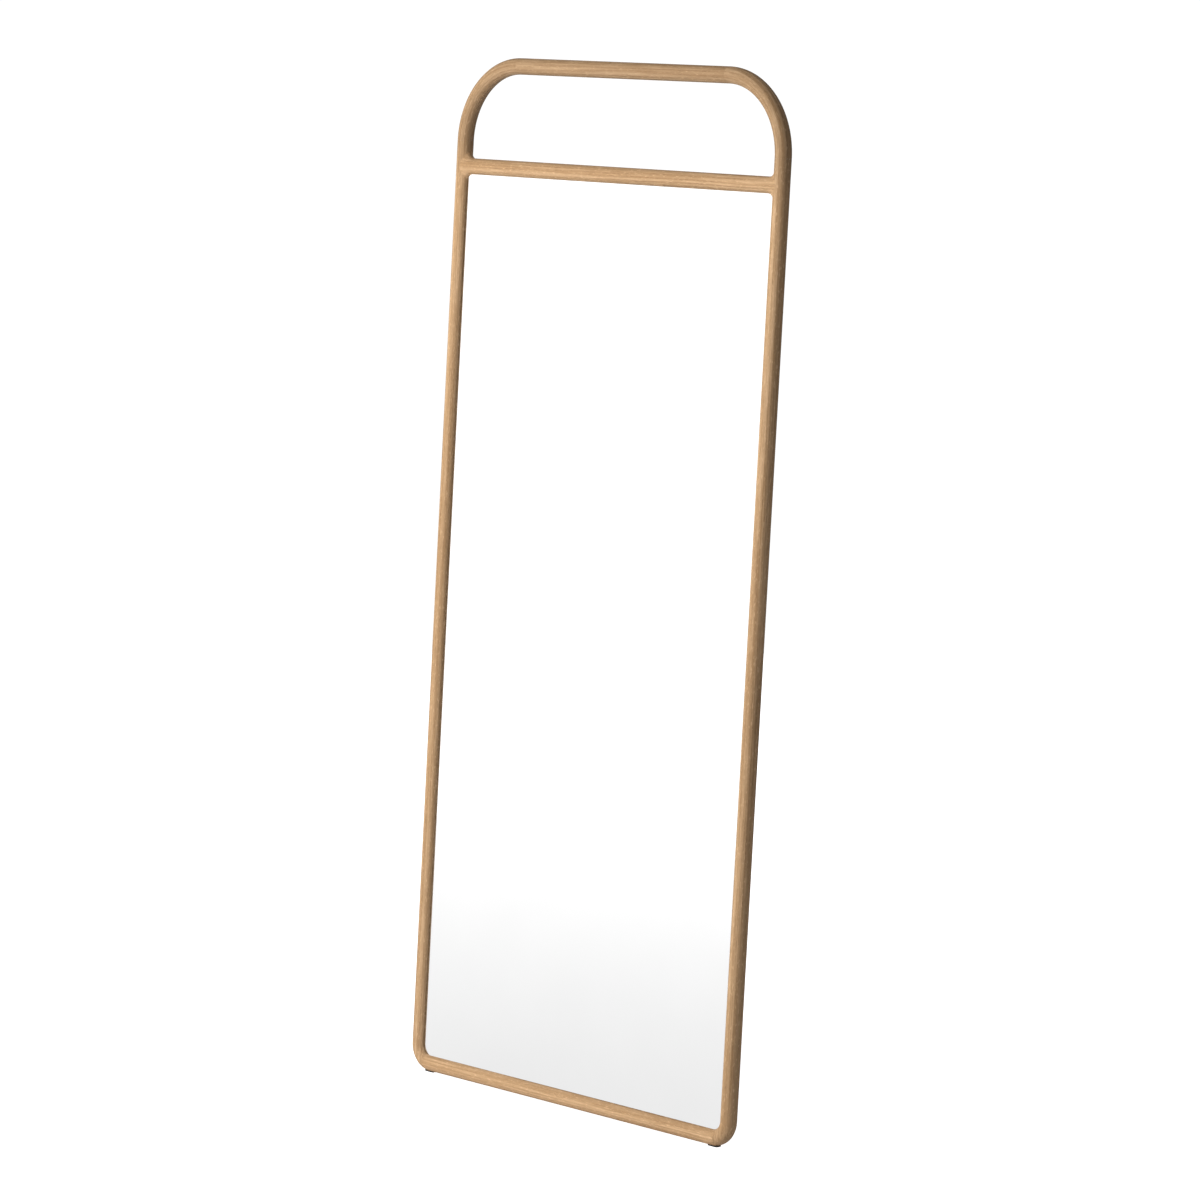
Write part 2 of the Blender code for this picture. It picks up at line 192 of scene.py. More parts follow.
def trim(bm, place, keep_side):
    """Cut a bmesh flat at x = place, keep the part on the given side and ease the cut's rim."""
    geometry = bm.verts[:] + bm.edges[:] + bm.faces[:]
    result = bmesh.ops.bisect_plane(
        bm,
        geom=geometry,
        plane_co=(place, 0.0, 0.0),
        plane_no=(-keep_side, 0.0, 0.0),
        clear_outer=True,
    )
    edges = [item for item in result["geom_cut"] if isinstance(item, bmesh.types.BMEdge)]
    filled = bmesh.ops.edgeloop_fill(bm, edges=edges)
    rim = list({edge for face in filled["faces"] for edge in face.edges})
    bmesh.ops.bevel(bm, geom=rim, offset=SEAM_BEVEL, segments=2, profile=0.5, affect="EDGES")


def stile(side):
    """One upright, which turns inwards at its foot and stops at the bottom rail's seam."""
    sign = SIDES[side]
    centre_x = sign * (HALF_WIDTH - BOTTOM_CORNER_RADIUS)
    start = 0.0 if sign > 0 else math.pi
    end = -math.pi / 2 if sign > 0 else 1.5 * math.pi
    top = (sign * HALF_WIDTH, 0.0, TOP_SEAM_HEIGHT - SEAM_GAP)
    foot = (sign * HALF_WIDTH, 0.0, BOTTOM_CORNER_RADIUS)
    path = straight_path(top, foot, STRAIGHT_STEPS)[:-1]
    path += arc_path(centre_x, BOTTOM_CORNER_RADIUS, BOTTOM_CORNER_RADIUS, start, end, FOOT_STEPS)
    bm = tube(path, TUBE_RADIUS)
    trim(bm, sign * (BOTTOM_SEAM_PLACE + SEAM_GAP), sign)
    return bm


def bottom_rail():
    """The bottom rail, with the last of each corner's bend at its ends."""
    radius = BOTTOM_CORNER_RADIUS
    centre_x = HALF_WIDTH - radius
    path = arc_path(-centre_x, radius, radius, math.pi, 1.5 * math.pi, FOOT_STEPS)
    path += straight_path((-centre_x, 0.0, 0.0), (centre_x, 0.0, 0.0), STRAIGHT_STEPS)[1:-1]
    path += arc_path(centre_x, radius, radius, -math.pi / 2, 0.0, FOOT_STEPS)
    bm = tube(path, TUBE_RADIUS)
    trim(bm, -(BOTTOM_SEAM_PLACE - SEAM_GAP), 1)
    trim(bm, BOTTOM_SEAM_PLACE - SEAM_GAP, -1)
    return bm


def top_corner(side):
    """The quarter bend between a stile and the top rail."""
    sign = SIDES[side]
    clear = SEAM_GAP / TOP_CORNER_RADIUS
    start = clear if sign > 0 else math.pi - clear
    end = math.pi / 2 - clear if sign > 0 else math.pi / 2 + clear
    path = arc_path(sign * TOP_SEAM_PLACE, TOP_SEAM_HEIGHT, TOP_CORNER_RADIUS, start, end, BEND_STEPS)
    return tube(path, TUBE_RADIUS)


def top_rail():
    """The straight rail between the two top corners."""
    reach = TOP_SEAM_PLACE - SEAM_GAP
    path = straight_path((-reach, 0.0, AXIS_HEIGHT), (reach, 0.0, AXIS_HEIGHT), STRAIGHT_STEPS)
    return tube(path, TUBE_RADIUS)


def cross_rail_ring(bm, sign, turn):
    """One ring of the cross rail's flared end.

    The turn runs along the fillet, from zero on the stile's surface to a quarter turn where the
    plain round section begins. On the stile the ring follows the stile's round side.
    """
    seat_radius = TUBE_RADIUS + SEAM_GAP
    along = 1.0 - math.cos(turn)
    flare = FILLET_RADIUS * (1.0 - math.sin(turn))
    ring = []
    for k in range(TUBE_SEGMENTS):
        angle = 2 * math.pi * k / TUBE_SEGMENTS
        y = -TUBE_RADIUS * math.cos(angle)
        z = CROSS_RAIL_HEIGHT + (TUBE_RADIUS + flare) * math.sin(angle)
        seat = math.sqrt(seat_radius**2 - y**2)
        inward = seat * (1.0 - along) + (seat_radius + FILLET_RADIUS) * along
        ring.append(bm.verts.new((sign * (HALF_WIDTH - inward), y, z)))
    return ring


def fill_seat(bm, ring):
    """Close a coped end with strips that run along the stile."""
    count = len(ring)
    for k in range(count // 2):
        corners = (ring[k], ring[k + 1], ring[(count - k - 1) % count], ring[(count - k) % count])
        bm.faces.new(list(dict.fromkeys(corners)))


def plain_ring(bm, x):
    """One round ring of the cross rail at this place along it."""
    ring = []
    for k in range(TUBE_SEGMENTS):
        angle = 2 * math.pi * k / TUBE_SEGMENTS
        y = -TUBE_RADIUS * math.cos(angle)
        ring.append(bm.verts.new((x, y, CROSS_RAIL_HEIGHT + TUBE_RADIUS * math.sin(angle))))
    return ring


def cross_rail():
    """The rail above the glass, with both ends flared and coped to the stiles."""
    bm = bmesh.new()
    turns = [math.pi / 2 * k / FILLET_STEPS for k in range(FILLET_STEPS + 1)]
    reach = HALF_WIDTH - TUBE_RADIUS - SEAM_GAP - FILLET_RADIUS
    rings = [cross_rail_ring(bm, -1, turn) for turn in turns]
    rings += [plain_ring(bm, reach * (2 * k / STRAIGHT_STEPS - 1)) for k in range(1, STRAIGHT_STEPS)]
    rings += [cross_rail_ring(bm, 1, turn) for turn in reversed(turns)]
    skin_rings(bm, rings)
    fill_seat(bm, rings[0])
    fill_seat(bm, rings[-1])
    return bm


def rounded_outline(half_width, low, high, low_radius, high_radius, steps):
    """Corner points of an upright rectangle with rounded corners, in the XZ plane."""
    corners = (
        (half_width - low_radius, low + low_radius, low_radius, -math.pi / 2),
        (half_width - high_radius, high - high_radius, high_radius, 0.0),
        (-half_width + high_radius, high - high_radius, high_radius, math.pi / 2),
        (-half_width + low_radius, low + low_radius, low_radius, math.pi),
    )
    points = []
    for centre_x, centre_z, radius, start in corners:
        for k in range(steps + 1):
            angle = start + math.pi / 2 * k / steps
            points.append((centre_x + radius * math.cos(angle), centre_z + radius * math.sin(angle)))
    return points


def sheet_outline(half_width, smaller):
    """A sheet's outline, this much smaller all round. Its edge follows the members' axes."""
    inset = HALF_WIDTH - half_width + smaller
    low_radius = BOTTOM_CORNER_RADIUS - inset
    top = CROSS_RAIL_HEIGHT - inset
    return rounded_outline(HALF_WIDTH - inset, inset, top, low_radius, UPPER_RECESS_CORNER, OUTLINE_STEPS)


def layered_slab(layers):
    """A closed solid through outlines of equal count, given as (outline, y) from front to back."""
    bm = bmesh.new()
    rings = [[bm.verts.new((x, y, z)) for x, z in outline] for outline, y in layers]
    skin_rings(bm, rings)
    bm.faces.new(rings[0])
    bm.faces.new(rings[-1])
    return bm


def recess_cutter():
    """The stepped hollow milled from the frame's back for the glass and the panel."""
    glass_hole = sheet_outline(GLASS_HIGH.x, -GLASS_CLEARANCE)
    panel_hole = sheet_outline(PANEL_HIGH.x, -PANEL_CLEARANCE)
    front = GLASS_LOW.y - SHEET_GAP
    step = PANEL_LOW.y - SHEET_GAP
    layers = ((glass_hole, front), (glass_hole, step), (panel_hole, step), (panel_hole, RECESS_BACK))
    return mesh_object("recess_cutter", layered_slab(layers))


def cut(thing, cutter):
    """Take the cutter's volume away from an object, for good."""
    boolean = thing.modifiers.new("recess", "BOOLEAN")
    boolean.operation = "DIFFERENCE"
    boolean.solver = "EXACT"
    boolean.object = cutter
    bpy.context.view_layer.update()
    evaluated = thing.evaluated_get(bpy.context.evaluated_depsgraph_get())
    mesh = bpy.data.meshes.new_from_object(evaluated)
    thing.modifiers.clear()
    old = thing.data
    thing.data = mesh
    bpy.data.meshes.remove(old)


def mirrored(thing, name):
    """A copy of a piece for the other side, still facing outwards."""
    mesh = thing.data.copy()
    mesh.transform(Matrix.Diagonal((-1.0, 1.0, 1.0, 1.0)))
    mesh.flip_normals()
    mesh.name = name
    copied = bpy.data.objects.new(name, mesh)
    bpy.context.scene.collection.objects.link(copied)
    return copied


def stile_grain(side):
    """Wood coordinates in a stile: across, across, along."""
    axis_x = SIDES[side] * HALF_WIDTH
    shift = Vector((0.31, 0.17, 0.0)) if side == "left" else Vector((0.73, 0.41, 3.0))
    return lambda point: Vector((point.x - axis_x, point.y, point.z)) + shift


def top_corner_grain(side):
    """Wood coordinates in a top corner, which follow its bend on from the stile."""
    sign = SIDES[side]
    shift = stile_grain(side)(Vector((sign * HALF_WIDTH, 0.0, 0.0)))

    def grain(point):
        away_x = sign * point.x - TOP_SEAM_PLACE
        away_z = point.z - TOP_SEAM_HEIGHT
        across = math.hypot(away_x, away_z) - TOP_CORNER_RADIUS
        along = TOP_SEAM_HEIGHT + TOP_CORNER_RADIUS * math.atan2(away_z, away_x)
        return Vector((sign * across, point.y, along)) + shift

    return grain


def rail_grain(axis_height, shift):
    """Wood coordinates in a level rail."""
    return lambda point: Vector((point.z - axis_height, point.y, point.x)) + Vector(shift)


def wood_lightness(name, point):
    """How light each member is drawn: darker towards the top, the stiles fading from the cross rail up,
    the bottom rail lightest.
    """
    if name.startswith("stile"):
        height = CROSS_RAIL_HEIGHT - TUBE_RADIUS - FILLET_RADIUS
        share = min(1.0, max(0.0, (point.z - height) / (TOP_SEAM_HEIGHT - height)))
        return 1.0 + (UPPER_WOOD_LIGHTNESS - 1.0) * share
    tones = {"top_rail": UPPER_WOOD_LIGHTNESS, "cross_rail": 1.03, "bottom_rail": 1.10}
    return tones.get(name, UPPER_WOOD_LIGHTNESS)


def store_grain(thing, name, grain):
    """Keep each point's wood coordinates and lightness on the mesh, for the oak material."""
    points = [vertex.co.copy() for vertex in thing.data.vertices]
    places = thing.data.attributes.new("grain", "FLOAT_VECTOR", "POINT")
    for point, item in zip(points, places.data):
        item.vector = grain(point)
    tones = thing.data.attributes.new("wood_lightness", "FLOAT", "POINT")
    for point, item in zip(points, tones.data):
        item.value = wood_lightness(name, point)


def settle(thing, body, material, nodes, smooth_angle=35.0):
    """Lean a finished piece, shade it, give it its material and put it on its body."""
    thing.data.transform(TO_ROOM)
    thing.data.shade_smooth()
    thing.data.set_sharp_from_angle(angle=math.radians(smooth_angle))
    thing.data.materials.clear()
    thing.data.materials.append(material)
    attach(thing, body)
    if nodes:
        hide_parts(*nodes)


def new_material(name):
    """A material with only a Principled shader, and a helper that adds and links nodes."""
    material = bpy.data.materials.new(name)
    material.use_nodes = True
    tree = material.node_tree
    shader = tree.nodes["Principled BSDF"]
    return material, tree, shader


def add_node(tree, kind, inputs=None, **settings):
    """Add a node, set its settings, and set or link its inputs."""
    node = tree.nodes.new(kind)
    for key, value in settings.items():
        setattr(node, key, value)
    for key, value in (inputs or {}).items():
        if isinstance(value, bpy.types.NodeSocket):
            tree.links.new(value, node.inputs[key])
        else:
            node.inputs[key].default_value = value
    return node


def stretched(tree, vector, scale, place=(0.0, 0.0, 0.0)):
    """The vector scaled by a different amount along each axis."""
    inputs = {"Vector": vector, "Scale": scale, "Location": place}
    return add_node(tree, "ShaderNodeMapping", inputs).outputs["Vector"]


def noise(tree, vector, scale=1.0, detail=2.0, roughness=0.5, distortion=0.0):
    """A noise texture's value."""
    inputs = {
        "Vector": vector,
        "Scale": scale,
        "Detail": detail,
        "Roughness": roughness,
        "Distortion": distortion,
    }
    return add_node(tree, "ShaderNodeTexNoise", inputs).outputs["Fac"]


def spread(tree, value, low, high, out_low=0.0, out_high=1.0):
    """Map a range of a value to another range, without going past its ends."""
    inputs = {"Value": value, "From Min": low, "From Max": high, "To Min": out_low, "To Max": out_high}
    return add_node(tree, "ShaderNodeMapRange", inputs, clamp=True).outputs["Result"]


def mixed(tree, factor, first, second, blend="MIX"):
    """Two colours mixed by a factor."""
    node = add_node(tree, "ShaderNodeMix", data_type="RGBA", blend_type=blend)
    for socket, value in ((node.inputs[0], factor), (node.inputs[6], first), (node.inputs[7], second)):
        if isinstance(value, bpy.types.NodeSocket):
            tree.links.new(value, socket)
        elif socket.type == "RGBA":
            socket.default_value = (*value, 1.0)
        else:
            socket.default_value = value
    return node.outputs[2]


def maths(tree, operation, first, second=0.0):
    """A maths node's value."""
    return add_node(tree, "ShaderNodeMath", {0: first, 1: second}, operation=operation).outputs[0]


def wood(name, light, dark, pore_colour, pore_strength=1.0, roughness=0.52):
    """Straight-grained timber drawn in the piece's own wood coordinates."""
    material, tree, shader = new_material(name)
    grain = add_node(tree, "ShaderNodeAttribute", attribute_name="grain").outputs["Vector"]
    sway = noise(tree, stretched(tree, grain, (60.0, 60.0, 3.0)), detail=1.0)
    swayed = add_node(
        tree,
        "ShaderNodeVectorMath",
        {0: grain, 1: add_node(tree, "ShaderNodeCombineXYZ", {
            "X": spread(tree, sway, 0.3, 0.7, -0.0016, 0.0016),
            "Y": spread(tree, sway, 0.3, 0.7, 0.0010, -0.0010),
        }).outputs[0]},
        operation="ADD",
    ).outputs[0]
    broad = noise(tree, stretched(tree, swayed, (34.0, 34.0, 1.4)), detail=3.0, roughness=0.55)
    rings = noise(tree, stretched(tree, swayed, (260.0, 420.0, 2.6)), detail=3.0, roughness=0.6)
    fine = noise(tree, stretched(tree, swayed, (1300.0, 1300.0, 22.0)), detail=2.0, roughness=0.6)
    pores = noise(tree, stretched(tree, swayed, (2600.0, 2600.0, 95.0)), detail=1.0, roughness=0.4)
    flecks = noise(tree, stretched(tree, swayed, (900.0, 240.0, 120.0), (5.1, 2.3, 7.7)), detail=1.0)
    figure_place = stretched(tree, swayed, (230.0, 230.0, 24.0), (3.3, 8.1, 4.9))
    figure = noise(tree, figure_place, detail=2.0, distortion=0.6)
    ring_tone = spread(tree, rings, 0.36, 0.66)
    tone = mixed(tree, ring_tone, light, dark)
    broad_tone = spread(tree, broad, 0.32, 0.70)
    tone = mixed(tree, maths(tree, "MULTIPLY", broad_tone, 0.45), tone, dark)
    figure_tone = spread(tree, figure, 0.40, 0.66)
    tone = mixed(tree, maths(tree, "MULTIPLY", figure_tone, 0.50), tone, dark)
    fine_tone = spread(tree, fine, 0.35, 0.70)
    tone = mixed(tree, maths(tree, "MULTIPLY", fine_tone, 0.30), tone, dark)
    fleck_mask = spread(tree, flecks, 0.60, 0.70)
    pale = tuple(min(1.0, part * 1.22 + 0.03) for part in light)
    tone = mixed(tree, maths(tree, "MULTIPLY", fleck_mask, 0.42), tone, pale)
    pore_rows = spread(tree, rings, 0.42, 0.62)
    pore_mask = maths(tree, "MULTIPLY", spread(tree, pores, 0.60, 0.70), pore_rows)
    tone = mixed(tree, maths(tree, "MULTIPLY", pore_mask, 0.75 * pore_strength), tone, pore_colour)
    # The wood is scaled darker towards the top by the stored lightness.
    lightness = add_node(tree, "ShaderNodeAttribute", attribute_name="wood_lightness").outputs["Fac"]
    scaled = add_node(tree, "ShaderNodeVectorMath", {0: tone, "Scale": lightness}, operation="SCALE")
    tone = scaled.outputs["Vector"]
    tree.links.new(tone, shader.inputs["Base Color"])
    rough = spread(tree, pore_mask, 0.0, 1.0, roughness, roughness + 0.25)
    tree.links.new(rough, shader.inputs["Roughness"])
    shader.inputs["Specular IOR Level"].default_value = 0.35
    sunk_pores = maths(tree, "MULTIPLY", pore_mask, -1.0)
    height = maths(tree, "ADD", sunk_pores, maths(tree, "MULTIPLY", fine, 0.25))
    height = maths(tree, "ADD", height, maths(tree, "MULTIPLY", rings, 0.15))
    bump = add_node(tree, "ShaderNodeBump", {"Height": height, "Strength": 0.55, "Distance": 0.00012})
    tree.links.new(bump.outputs["Normal"], shader.inputs["Normal"])
    return material


OAK = wood("oak_oiled", (0.650, 0.434, 0.252), (0.385, 0.228, 0.110), (0.165, 0.090, 0.040))


def beech_material():
    """Beech for the hidden dowels, with short brown flecks, in plain object coordinates."""
    material, tree, shader = new_material("beech_turned")
    place = add_node(tree, "ShaderNodeTexCoord").outputs["Object"]
    streaks = noise(tree, stretched(tree, place, (900.0, 900.0, 120.0)), detail=2.0)
    flecks = noise(tree, stretched(tree, place, (1500.0, 1500.0, 500.0)), detail=1.0)
    tone = mixed(tree, spread(tree, streaks, 0.3, 0.7), (0.70, 0.47, 0.29), (0.56, 0.34, 0.19))
    tone = mixed(tree, spread(tree, flecks, 0.62, 0.72), tone, (0.36, 0.19, 0.10))
    tree.links.new(tone, shader.inputs["Base Color"])
    shader.inputs["Roughness"].default_value = 0.65
    bump = add_node(tree, "ShaderNodeBump", {"Height": streaks, "Strength": 0.4, "Distance": 0.0001})
    tree.links.new(bump.outputs["Normal"], shader.inputs["Normal"])
    return material


def mirror_material():
    """Silvered glass: a near-perfect neutral mirror with faint clouds and a trace of dust."""
    material, tree, shader = new_material("mirror_silvered")
    place = add_node(tree, "ShaderNodeTexCoord").outputs["Object"]
    cloud = noise(tree, stretched(tree, place, (7.0, 7.0, 7.0)), detail=2.0)
    dust = noise(tree, stretched(tree, place, (700.0, 700.0, 700.0)), detail=2.0)
    tone = mixed(tree, spread(tree, cloud, 0.3, 0.7), (0.955, 0.955, 0.955), (0.970, 0.970, 0.970))
    specks = spread(tree, dust, 0.74, 0.80)
    tone = mixed(tree, maths(tree, "MULTIPLY", specks, 0.25), tone, (0.80, 0.80, 0.79))
    tree.links.new(tone, shader.inputs["Base Color"])
    shader.inputs["Metallic"].default_value = 1.0
    shader.inputs["Roughness"].default_value = 0.0
    return material


def ground_edge_material():
    """The glass's ground edge: pale grey-green and matt, with fine grinding marks."""
    material, tree, shader = new_material("glass_ground_edge")
    place = add_node(tree, "ShaderNodeTexCoord").outputs["Object"]
    marks = noise(tree, stretched(tree, place, (1800.0, 1800.0, 1800.0)), detail=2.0)
    tone = mixed(tree, spread(tree, marks, 0.3, 0.7), (0.66, 0.72, 0.68), (0.78, 0.82, 0.79))
    tree.links.new(tone, shader.inputs["Base Color"])
    tree.links.new(spread(tree, marks, 0.3, 0.7, 0.35, 0.6), shader.inputs["Roughness"])
    bump = add_node(tree, "ShaderNodeBump", {"Height": marks, "Strength": 0.3, "Distance": 0.00005})
    tree.links.new(bump.outputs["Normal"], shader.inputs["Normal"])
    return material


def film_material():
    """Grey safety film with faint creases."""
    material, tree, shader = new_material("film_grey")
    place = add_node(tree, "ShaderNodeTexCoord").outputs["Object"]
    creases = noise(tree, stretched(tree, place, (18.0, 18.0, 18.0)), detail=3.0, distortion=1.2)
    weave = noise(tree, stretched(tree, place, (900.0, 900.0, 900.0)), detail=1.0)
    tone = mixed(tree, spread(tree, creases, 0.35, 0.65), (0.60, 0.62, 0.64), (0.70, 0.72, 0.74))
    tree.links.new(tone, shader.inputs["Base Color"])
    tree.links.new(spread(tree, weave, 0.3, 0.7, 0.32, 0.48), shader.inputs["Roughness"])
    bump = add_node(tree, "ShaderNodeBump", {"Height": creases, "Strength": 0.3, "Distance": 0.0004})
    tree.links.new(bump.outputs["Normal"], shader.inputs["Normal"])
    return material


def foam_material():
    """Closed-cell foam sheet with its small bubbles."""
    material, tree, shader = new_material("foam_white")
    place = add_node(tree, "ShaderNodeTexCoord").outputs["Object"]
    cells = add_node(tree, "ShaderNodeTexVoronoi", {"Vector": place, "Scale": 900.0}).outputs["Distance"]
    tone = mixed(tree, spread(tree, cells, 0.1, 0.7), (0.72, 0.72, 0.70), (0.86, 0.86, 0.84))
    tree.links.new(tone, shader.inputs["Base Color"])
    shader.inputs["Roughness"].default_value = 0.9
    bump = add_node(tree, "ShaderNodeBump", {"Height": cells, "Strength": 0.5, "Distance": 0.0003})
    tree.links.new(bump.outputs["Normal"], shader.inputs["Normal"])
    return material


def fibreboard_material():
    """Brown hardboard with matted fibres and darker specks."""
    material, tree, shader = new_material("hardboard_brown")
    place = add_node(tree, "ShaderNodeTexCoord").outputs["Object"]
    mat = stretched(tree, place, (420.0, 420.0, 150.0))
    fibres = noise(tree, mat, detail=5.0, roughness=0.7, distortion=1.5)
    specks = noise(tree, stretched(tree, place, (900.0, 900.0, 700.0)), detail=1.0)
    clouds = noise(tree, stretched(tree, place, (9.0, 9.0, 6.0)), detail=3.0)
    tone = mixed(tree, spread(tree, fibres, 0.3, 0.7), (0.250, 0.150, 0.085), (0.380, 0.250, 0.150))
    tone = mixed(tree, spread(tree, clouds, 0.3, 0.7, 0.0, 0.35), tone, (0.240, 0.140, 0.078))
    tone = mixed(tree, spread(tree, specks, 0.64, 0.72), tone, (0.110, 0.062, 0.035))
    tree.links.new(tone, shader.inputs["Base Color"])
    tree.links.new(spread(tree, fibres, 0.3, 0.7, 0.62, 0.85), shader.inputs["Roughness"])
    bump = add_node(tree, "ShaderNodeBump", {"Height": fibres, "Strength": 0.5, "Distance": 0.0003})
    tree.links.new(bump.outputs["Normal"], shader.inputs["Normal"])
    return material


def steel_material():
    """Zinc-plated steel with a faint yellow cast and turning marks."""
    material, tree, shader = new_material("zinc_steel")
    place = add_node(tree, "ShaderNodeTexCoord").outputs["Object"]
    marks = noise(tree, stretched(tree, place, (2600.0, 2600.0, 2600.0)), detail=3.0)
    stains = noise(tree, stretched(tree, place, (500.0, 500.0, 500.0)), detail=2.0)
    tone = mixed(tree, spread(tree, stains, 0.35, 0.65), (0.66, 0.66, 0.62), (0.50, 0.50, 0.46))
    tree.links.new(tone, shader.inputs["Base Color"])
    shader.inputs["Metallic"].default_value = 1.0
    tree.links.new(spread(tree, marks, 0.3, 0.7, 0.26, 0.46), shader.inputs["Roughness"])
    bump = add_node(tree, "ShaderNodeBump", {"Height": marks, "Strength": 0.25, "Distance": 0.00005})
    tree.links.new(bump.outputs["Normal"], shader.inputs["Normal"])
    return material


def rubber_material():
    """Matt dark rubber with a pebbled skin and pale dust on it."""
    material, tree, shader = new_material("rubber_dark")
    place = add_node(tree, "ShaderNodeTexCoord").outputs["Object"]
    skin = add_node(tree, "ShaderNodeTexVoronoi", {"Vector": place, "Scale": 1700.0})
    pebbles = skin.outputs["Distance"]
    dust = noise(tree, stretched(tree, place, (350.0, 350.0, 350.0)), detail=4.0, roughness=0.65)
    dusty = spread(tree, dust, 0.48, 0.75, 0.0, 0.5)
    tone = mixed(tree, dusty, (0.030, 0.027, 0.025), (0.110, 0.100, 0.090))
    tree.links.new(tone, shader.inputs["Base Color"])
    tree.links.new(spread(tree, dust, 0.3, 0.7, 0.72, 0.92), shader.inputs["Roughness"])
    bump = add_node(tree, "ShaderNodeBump", {"Height": pebbles, "Strength": 0.4, "Distance": 0.0001})
    tree.links.new(bump.outputs["Normal"], shader.inputs["Normal"])
    return material


MIRROR = mirror_material()
GROUND_EDGE = ground_edge_material()
STEEL = steel_material()
RUBBER = rubber_material()


def build_wood():
    """The seven oak members."""
    cutter = recess_cutter()
    rails = (
        ("top_rail", top_rail(), rail_grain(AXIS_HEIGHT, (0.93, 0.57, 7.0))),
        ("cross_rail", cross_rail(), rail_grain(CROSS_RAIL_HEIGHT, (1.21, 0.83, 11.0))),
        ("bottom_rail", bottom_rail(), rail_grain(0.0, (1.57, 0.29, 15.0))),
    )
    pieces = []
    for name, bm, grain in rails:
        member = mesh_object(f"{name}_timber", bm)
        if name != "top_rail":
            cut(member, cutter)
        pieces.append((name, member, grain))
    left_stile = mesh_object("stile_left_timber", stile("left"))
    cut(left_stile, cutter)
    pieces.append(("stile_left", left_stile, stile_grain("left")))
    pieces.append(("stile_right", mirrored(left_stile, "stile_right_timber"), stile_grain("right")))
    for side in SIDES:
        corner = mesh_object(f"top_corner_{side}_timber", top_corner(side))
        pieces.append((f"top_corner_{side}", corner, top_corner_grain(side)))
    for name, member, grain in pieces:
        store_grain(member, name, grain)
        settle(member, "root", OAK, [name])
    old = cutter.data
    bpy.data.objects.remove(cutter)
    bpy.data.meshes.remove(old)


def build_mirror():
    """The silvered sheet, with a bevelled and ground edge hidden under the wood."""
    front, back = GLASS_LOW.y, GLASS_HIGH.y
    flat = sheet_outline(GLASS_HIGH.x, GLASS_BEVEL)
    rim = sheet_outline(GLASS_HIGH.x, 0.0)
    layers = ((flat, front), (rim, front + GLASS_BEVEL), (rim, back - GLASS_BEVEL), (flat, back))
    glass = mesh_object("mirror_glass_sheet", layered_slab(layers))
    settle(glass, "root", MIRROR, ["mirror_glass"], 20.0)
    glass.data.materials.append(GROUND_EDGE)
    for face in glass.data.polygons:
        if len(face.vertices) == 4:
            face.material_index = 1


def turned(profile, segments):
    """A solid turned about the Y axis, from (radius, y) pairs in order."""
    bm = bmesh.new()
    rings = []
    for radius, y in profile:
        ring = []
        for k in range(segments):
            angle = 2 * math.pi * k / segments
            ring.append(bm.verts.new((radius * math.cos(angle), y, radius * math.sin(angle))))
        rings.append(ring)
    skin_rings(bm, rings)
    bm.faces.new(rings[0])
    bm.faces.new(rings[-1])
    return bm


def screw_shape(shank_radius, head_radius, head_height, length):
    """A pan-head wood screw with its seat at y = 0, ridges for its thread, and a cross recess."""
    profile = [(0.0002, -length), (shank_radius * 0.55, -length + 0.0016)]
    turns = int((length - 0.0030) / SCREW_PITCH)
    for k in range(turns):
        base = -length + 0.0020 + k * SCREW_PITCH
        profile.append((shank_radius * 0.70, base))
        profile.append((shank_radius * 0.98, base + SCREW_PITCH * 0.45))
        profile.append((shank_radius * 0.70, base + SCREW_PITCH * 0.80))
    profile += [(shank_radius * 0.74, -0.0004), (shank_radius * 0.80, 0.0), (head_radius * 0.97, 0.0)]
    for k in range(7):
        angle = math.pi / 2 * k / 6
        radius = head_radius * (0.62 + 0.38 * math.cos(angle) ** 0.8)
        profile.append((radius, head_height * (0.15 + 0.85 * math.sin(angle))))
    screw = mesh_object("screw_pattern", turned(profile, 28))
    slot_bm = bmesh.new()
    for turn in (0.0, math.pi / 2):
        made = bmesh.ops.create_cube(slot_bm, size=1.0)
        depth = head_height * 0.75
        size = Matrix.Diagonal((head_radius * 1.15, depth * 2, head_radius * 0.30, 1.0))
        place = Matrix.Translation((0.0, head_height, 0.0)) @ Matrix.Rotation(turn, 4, "Y") @ size
        bmesh.ops.transform(slot_bm, matrix=place, verts=made["verts"])
    # The cross narrows towards its bottom.
    for vertex in slot_bm.verts:
        if vertex.co.y < head_height:
            vertex.co.x *= 0.45
            vertex.co.z *= 0.45
    cross = mesh_object("cross_recess", slot_bm)
    cross.data.validate()
    boolean = screw.modifiers.new("cross", "BOOLEAN")
    boolean.operation = "DIFFERENCE"
    boolean.solver = "EXACT"
    boolean.use_self = True
    boolean.object = cross
    bpy.context.view_layer.update()
    evaluated = screw.evaluated_get(bpy.context.evaluated_depsgraph_get())
    mesh = bpy.data.meshes.new_from_object(evaluated)
    for thing in (screw, cross):
        old = thing.data
        bpy.data.objects.remove(thing)
        bpy.data.meshes.remove(old)
    return mesh


def build_screws():
    """Every panel screw, with its cross turned to its own angle."""
    low, high = leaning_box("panel_screw_01")
    seat = PANEL_HIGH.y + SHEET_GAP
    head_radius = (high.x - low.x) / 2
    pattern = screw_shape(SCREW_SHANK_RADIUS, head_radius, high.y - seat, seat - low.y)
    names = sorted(name for name in NODES if name.startswith("panel_screw_"))
    for number, name in enumerate(names):
        low, high = leaning_box(name)
        mesh = pattern.copy()
        turn = Matrix.Rotation(math.radians((number * 137.5) % 90), 4, "Y")
        mesh.transform(turn)
        mesh.transform(Matrix.Translation(((low.x + high.x) / 2, seat, (low.z + high.z) / 2)))
        screw = bpy.data.objects.new(f"{name}_cross_head", mesh)
        bpy.context.scene.collection.objects.link(screw)
        settle(screw, "root", STEEL, [name], 30.0)
    bpy.data.meshes.remove(pattern)


